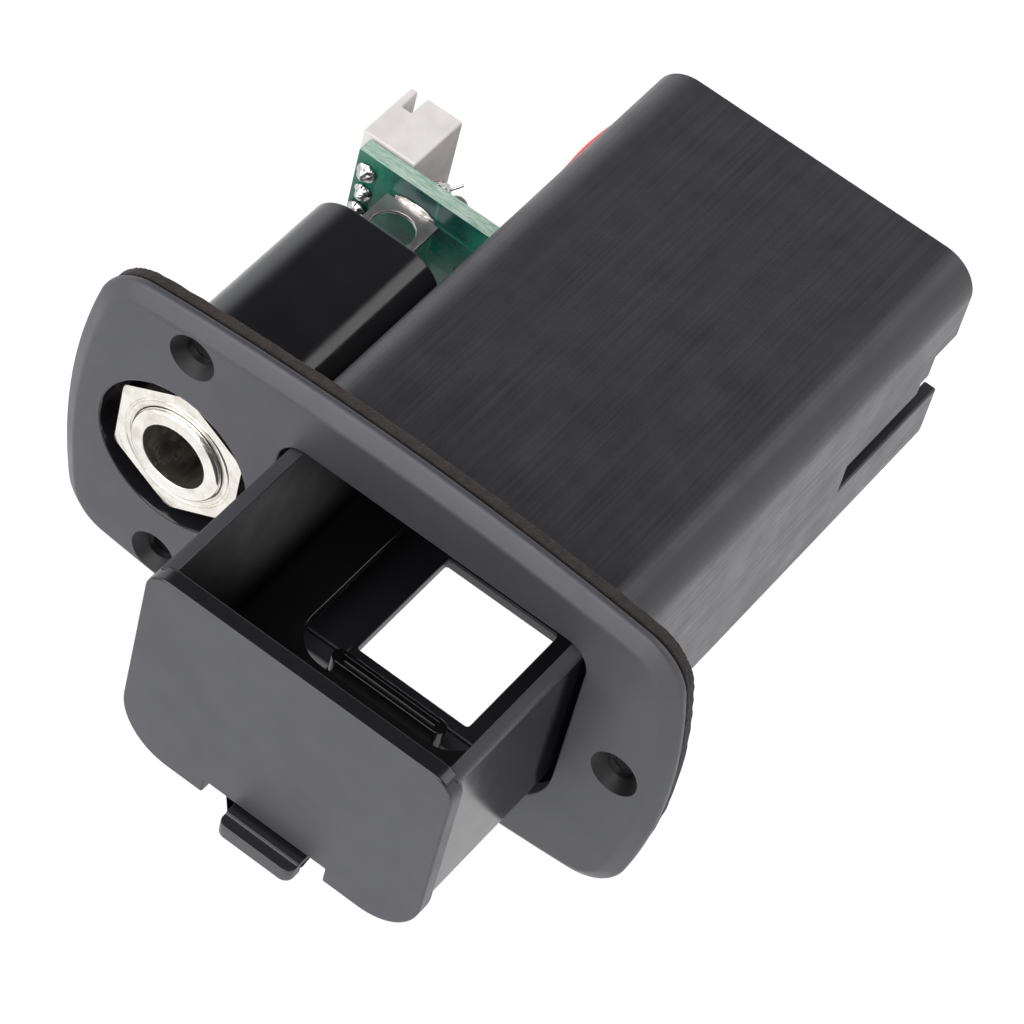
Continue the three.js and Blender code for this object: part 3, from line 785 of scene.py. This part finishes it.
def facePlate(look):
    low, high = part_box("faceplate")
    front = low.y * 1000
    rear = front + look["thickness"]
    plate = plateBlank(look, low, high)
    softenEdges(plate, 0.25, 28, 4)
    combine(plate, jackCup(look, low, high), "UNION")
    wide, tall = look["openingSize"]
    centre = look["drawerX"]
    left, right = centre - wide / 2, centre + wide / 2
    opening = blockAt("opening", (left, front - 1, -tall / 2), (right, rear + 1, tall / 2))
    roundCorners(opening, look["openingCorners"])
    combine(plate, opening)
    combine(plate, rodAlongY("recess", look["recessRadius"], front - 1, look["recessFloor"], jackX, 0))
    combine(plate, rodAlongY("floorHole", look["floorHole"], -0.5, 4, jackX, 0))
    softenEdges(plate, 0.16, 70, 2)
    hole, head = look["screwHole"], look["screwHead"]
    past = 0.2  # the cone starts before the plate and ends inside the hole
    for x, z in look["screwPlaces"]:
        combine(plate, rodAlongY("screwHole", hole, front - 1, rear + 1, x, z, vertices=64))
        coneEnd = front + head - hole + past
        combine(plate, rodAlongY("screwCone", head + past, front - past, coneEnd, x, z, hole - past, 64))
    crispShade(plate)
    finishPiece(plate, "base", "black_abs", blackSatin, "faceplate")

    # painted shade: the screw countersinks take the dull black and the recess walls the darker gloss black,
    # as the holes lie in shade; the recess floor takes its own rough grey
    def surface(middle, normal):
        x, y, z = middle
        if y < front + 0.02:
            return None
        if any(math.hypot(x - screwX, z - screwZ) < head for screwX, screwZ in look["screwPlaces"]):
            return paintedShadeBlack
        if math.hypot(x - jackX, z) < look["recessRadius"] + 0.1:
            onFloor = y > look["recessFloor"] - 0.05 and normal.y < -0.9
            return roughFloor if onFloor else blackGloss
        return None

    paintFaces(plate, (blackGloss, roughFloor, paintedShadeBlack), surface)


facePlate(plateLook)
print("faceplate ready")


# battery drawer: a satin front panel and the polished tray behind it, with sizes in mm
drawerLook = {
    "panelSize": (30.8, 22.4),
    "panelThickness": 1.7,
    "panelCorners": (2.2, 5.4),  # top and bottom
    "notch": (12.6, -9.5),  # width, and its top in z
    "trayWidth": 30.0,
    "trayWall": 1.35,
    "trayZ": (-8.1, -6.7, 10.8),  # underside, floor and rim
    "rearStep": (1.2, -5.2),  # its depth, and its top in z
    "floorOpening": (18.3, 12.4, 39.0),  # width, and from and to, behind the panel
    "openingCorners": (3.6, 1.5),  # front and rear
    "lugX": 6.9,  # from the tray's middle
    "lugHalf": 0.6,
    "lugReach": (-1.5, 1.4),  # before and behind the pivot
    "lugFoot": -11.2,
    "pivot": (10.8, -10.1, 0.95),  # behind the panel, height and hole radius
}


def drawerPanel(look):
    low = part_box("battery_drawer")[0]
    front = low.y * 1000
    back = front + look["panelThickness"]
    centre = plateLook["drawerX"]
    wide, tall = look["panelSize"]
    panel = blockAt("drawerPanel", (centre - wide / 2, front, -tall / 2), (centre + wide / 2, back, tall / 2))
    roundCorners(panel, look["panelCorners"])
    notchWide, notchTop = look["notch"]
    notchLeft, notchRight = centre - notchWide / 2, centre + notchWide / 2
    combine(panel, blockAt("notch", (notchLeft, front - 1, -tall), (notchRight, back + 1, notchTop)))
    softenEdges(panel, 0.22, 40, 4)
    crispShade(panel)
    finishPiece(panel, "drawer", "black_abs", blackSatin)

    # faces looking up or back take the darker polished black; on the panel's top edge this darker colour is
    # painted shade
    def surface(middle, normal):
        return blackGloss if normal.z > 0.35 or normal.y > 0.8 else None

    paintFaces(panel, (blackGloss,), surface)


def drawerTray(look):
    low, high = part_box("battery_drawer")
    back = low.y * 1000 + look["panelThickness"]
    rear = high.y * 1000
    centre = plateLook["drawerX"]
    outer = look["trayWidth"] / 2
    inner = outer - look["trayWall"]
    left, right = centre - inner, centre + inner
    under, floor, rim = look["trayZ"]
    tray = blockAt("drawerTray", (centre - outer, back - 0.5, under), (centre + outer, rear, rim))
    roundEdges(tray, 2.0, alongBottom, 8)
    roundEdges(tray, 0.42, lambda a, b: abs(a.y - b.y) > mm(1) and a.z > mm(rim - 0.01), 2)
    stepDeep, stepTop = look["rearStep"]
    well = blockAt("well", (left, back, floor), (right, rear - stepDeep, rim + 2))
    roundEdges(well, 0.8, alongBottom, 5)
    combine(tray, well)
    combine(tray, blockAt("overStep", (left, rear - 4, stepTop), (right, rear + 2, rim + 2)))
    wide, start, end = look["floorOpening"]
    window = blockAt("window", (centre - wide / 2, back + start, under - 2),
                     (centre + wide / 2, back + end, floor + 2))
    frontCorner, rearCorner = look["openingCorners"]
    middle = mm(back + (start + end) / 2)
    roundEdges(window, frontCorner, lambda a, b: abs(a.z - b.z) > mm(1) and a.y < middle, 12)
    roundEdges(window, rearCorner, lambda a, b: abs(a.z - b.z) > mm(1) and a.y > middle, 8)
    combine(tray, window)
    pivotY, pivotZ, pivotHole = look["pivot"]
    half, foot = look["lugHalf"], look["lugFoot"]
    before, behind = (back + pivotY + reach for reach in look["lugReach"])
    for side in (-1, 1):
        x = centre + side * look["lugX"]
        lug = blockAt("lug", (x - half, before, foot), (x + half, behind, under + 0.3))
        roundEdges(lug, 0.9, lambda a, b: abs(a.x - b.x) > mm(0.5) and a.z < mm(foot + 0.2), 5)
        combine(tray, lug, "UNION")
    pin = rodAlongY("pivotHole", pivotHole, -9, 9, 0, 0, vertices=32)
    pin.rotation_euler = (0, 0, math.pi / 2)
    pin.location = mm(centre, back + pivotY, pivotZ)
    applyPlace(pin)
    combine(tray, pin)
    softenEdges(tray, 0.12, 50, 2)
    smoothShade(tray)
    finishPiece(tray, "drawer", "black_abs", blackGloss, "battery_drawer")

    # painted shade: the well inside the tray takes the darkest dull black; painted light: the rim's top takes
    # the lighter satin black
    def surface(middle, normal):
        x, y, z = middle
        if abs(x - centre) < inner + 0.02 and z > floor - 0.05 and y > back:
            return paintedShadeBlack
        return blackSatin if z > rim - 0.6 and normal.z > 0.3 else None

    paintFaces(tray, (paintedShadeBlack, blackSatin), surface)


drawerPanel(drawerLook)
drawerTray(drawerLook)
print("drawer ready")


# the latch is satin below, and the top of its web that shows through the tray is painted pale: painted light,
# as the real web lies in shade there
latchLook = {"webStart": 5, "webTop": -9.5, "barFoot": -9.6}  # mm behind the drawer's front, and heights


def paintLatch(look):
    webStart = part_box("battery_drawer")[0].y * 1000 + look["webStart"]

    def surface(middle, normal):
        # painted light: the web's top is made pale, though it lies in shade
        if normal.z > 0.8 and middle.y > webStart and middle.z < look["webTop"]:
            return paintedLightSatin
        return blackGloss if normal.z > 0.5 or middle.z > look["barFoot"] else None

    paintFaces(bpy.data.objects["latchArm"], (paintedLightSatin, blackGloss), surface)


paintLatch(latchLook)
print("latch painted")


def circuitBoard():
    piece = softCopy("circuit_board", "circuitBoard", 0.05, segments=2)
    finishPiece(piece, "base", "green_board", boardMask, "circuit_board")

    def surface(middle, normal):
        return boardEdge if abs(normal.y) < 0.8 else None

    paintFaces(piece, (boardEdge,), surface)


circuitBoard()
print("circuit board ready")


# foam gasket with a torn edge
gasketLook = {
    "grain": 0.3,  # mm, size of the mesh's cells
    "wander": 0.05,  # mm, how far the edge strays
    "lump": 1.4,  # mm, width of a lump
}


def gasket(look):
    piece = softCopy("gasket", "foamGasket", 0)
    piece.data.remesh_voxel_size = mm(look["grain"])
    makeActive(piece)
    bpy.ops.object.voxel_remesh()
    lumps = bpy.data.textures.new("foamLumps", "CLOUDS")
    lumps.noise_scale = mm(look["lump"])
    lumps.noise_depth = 3
    wander = piece.modifiers.new("tornEdge", "DISPLACE")
    wander.texture = lumps
    wander.texture_coords = "LOCAL"
    wander.strength = mm(look["wander"]) * 2
    wander.mid_level = 0.5
    applyModifiers(piece)
    makeActive(piece)
    bpy.ops.object.shade_smooth()
    finishPiece(piece, "base", "dark_foam", foam, "gasket")


gasket(gasketLook)
print("gasket ready")


# battery leads, with sizes in mm and routes from the board to the contacts' tails
leadLook = {
    "radius": 0.6,
    "redRoute": (
        (-14.4, 31.6, -2.4), (-13.9, 34.5, -1.8), (-12.9, 39.5, 1.8), (-12.6, 43.5, 4.2), (-12.5, 47.5, 4.9),
        (-12.2, 52, 3.8), (-10.2, 56, 1.8), (-6.5, 57.8, -0.6), (-2.4, 57.8, -2.9), (-0.45, 55.6, -3.6),
    ),
    "blackRoute": (
        (-17.4, 31.6, 5.6), (-17.3, 33.2, 4.6), (-16.8, 34.4, 1.4), (-15.6, 36.5, -3.0), (-13.8, 41, -5.5),
        (-12.8, 47, -6.2), (-12.0, 52.5, -6.6), (-8.5, 56.8, -6.8), (0, 58.2, -6.2), (8.5, 58.2, -5.0),
        (12.25, 55.6, -3.6),
    ),
}


def tubeAlong(name, route, radius):
    curve = bpy.data.curves.new(name, "CURVE")
    curve.dimensions = "3D"
    curve.bevel_depth = mm(radius)
    curve.bevel_resolution = 5
    curve.resolution_u = 10
    curve.use_fill_caps = True
    spline = curve.splines.new("BEZIER")
    spline.bezier_points.add(len(route) - 1)
    for point, place in zip(spline.bezier_points, route):
        point.co = mm(*place)
        point.handle_left_type = "AUTO"
        point.handle_right_type = "AUTO"
    piece = bpy.data.objects.new(name, curve)
    bpy.context.scene.collection.objects.link(piece)
    makeActive(piece)
    bpy.ops.object.convert(target="MESH")
    piece = bpy.context.object
    mergeClose(piece)
    bpy.ops.object.shade_smooth_by_angle(angle=math.radians(40))
    return piece


redWire = tubeAlong("redLead", leadLook["redRoute"], leadLook["radius"])
finishPiece(redWire, "base", "red_insulation", redJacket, "red_lead")
blackWire = tubeAlong("blackLead", leadLook["blackRoute"], leadLook["radius"])
finishPiece(blackWire, "base", "black_insulation", blackJacket, "black_lead")
print("leads ready")


# place in mm, size across x and z, height, and side: -1 is the board's front, 1 its rear
boardSolder = {
    "pinSolder1": ((-24.9, 29.7, 5.3), 1.05, 1.0, 1.15, -1),
    "pinSolder2": ((-24.8, 29.7, 2.8), 1.0, 0.9, 1.0, -1),
    "pinSolder3": ((-25.0, 29.7, 0.3), 1.1, 0.95, 1.2, -1),
    "lugSolder": ((-19.5, 29.7, 4.85), 2.3, 0.75, 0.5, -1),
    "lugSolderRear": ((-19.5, 31.3, 4.8), 2.2, 0.8, 0.75, 1),
    "tipSolder": ((-19.5, 31.3, -4.8), 1.5, 0.8, 0.75, 1),
    "ringSolder": ((-14.1, 31.3, 0), 0.75, 1.3, 0.75, 1),
    "redSolder": ((-14.4, 31.3, -2.6), 0.95, 0.9, 0.9, 1),
    "blackSolder": ((-18.6, 31.3, 6.0), 1.5, 1.35, 1.7, 1),
}


solderLook = {
    "seat": 0.03,  # mm between the board and the cut under a joint
    "tipStart": 0.45,  # share of the height where the tip narrows
    "tipWidth": 0.72,
    "lump": 0.75,  # mm, width of a lump
    "uneven": 0.4,
}


def solderJoint(name, place, wide, tall, height, side, look):
    # a lump that hugs the board, drawn up to a blunt tip and left a little uneven
    bpy.ops.mesh.primitive_uv_sphere_add(segments=28, ring_count=16, radius=mm(1), location=mm(*place))
    joint = bpy.context.object
    joint.name = name
    joint.scale = (wide, height, tall)
    applyPlace(joint)
    editAll(joint)
    x, y, z = place
    bpy.ops.mesh.bisect(plane_co=mm(x, y + side * look["seat"], z), plane_no=(0, 1, 0), clear_inner=side > 0,
                        clear_outer=side < 0, use_fill=True, threshold=mm(0.0005))
    bpy.ops.object.mode_set(mode="OBJECT")
    level = mm(y) + side * mm(height) * look["tipStart"]
    selectFaces(joint, lambda face: (face.center.y - level) * side > 0)
    bpy.ops.transform.resize(value=(look["tipWidth"], 1, look["tipWidth"]))
    bpy.ops.object.mode_set(mode="OBJECT")
    rounder = joint.modifiers.new("rounder", "SUBSURF")
    rounder.levels = rounder.render_levels = 1
    lumps = bpy.data.textures.new(name + "Lumps", "CLOUDS")
    lumps.noise_scale = mm(look["lump"])
    uneven = joint.modifiers.new("uneven", "DISPLACE")
    uneven.texture = lumps
    uneven.texture_coords = "LOCAL"
    uneven.strength = mm(look["uneven"])
    uneven.mid_level = 0.55
    applyModifiers(joint)
    makeActive(joint)
    bpy.ops.object.shade_smooth_by_angle(angle=math.radians(60))
    return joint


for name, (place, wide, tall, height, side) in boardSolder.items():
    joint = solderJoint(name, place, wide, tall, height, side, solderLook)
    finishPiece(joint, "base", "tinned_metal", solderPad if name == "lugSolder" else solder)

strand = tubeAlong("strandTip", [(-18.3, 32.2, 6.2), (-17.7, 32.7, 6.6), (-17.2, 33.1, 7.1)], 0.13)
finishPiece(strand, "base", "tinned_metal", solder)

# on the tails of the battery's contacts: place and body
tailSolder = {
    "positiveSolder": ((-0.45, 54.6, -3.6), "positive_leaf"),
    "negativeSolder": ((12.25, 54.6, -3.6), "negative_leaf"),
}
for name, (place, body) in tailSolder.items():
    joint = solderJoint(name, place, 1.25, 0.85, 1.3, 1, solderLook)
    finishPiece(joint, body, "tinned_metal", solder)
print("solder ready")
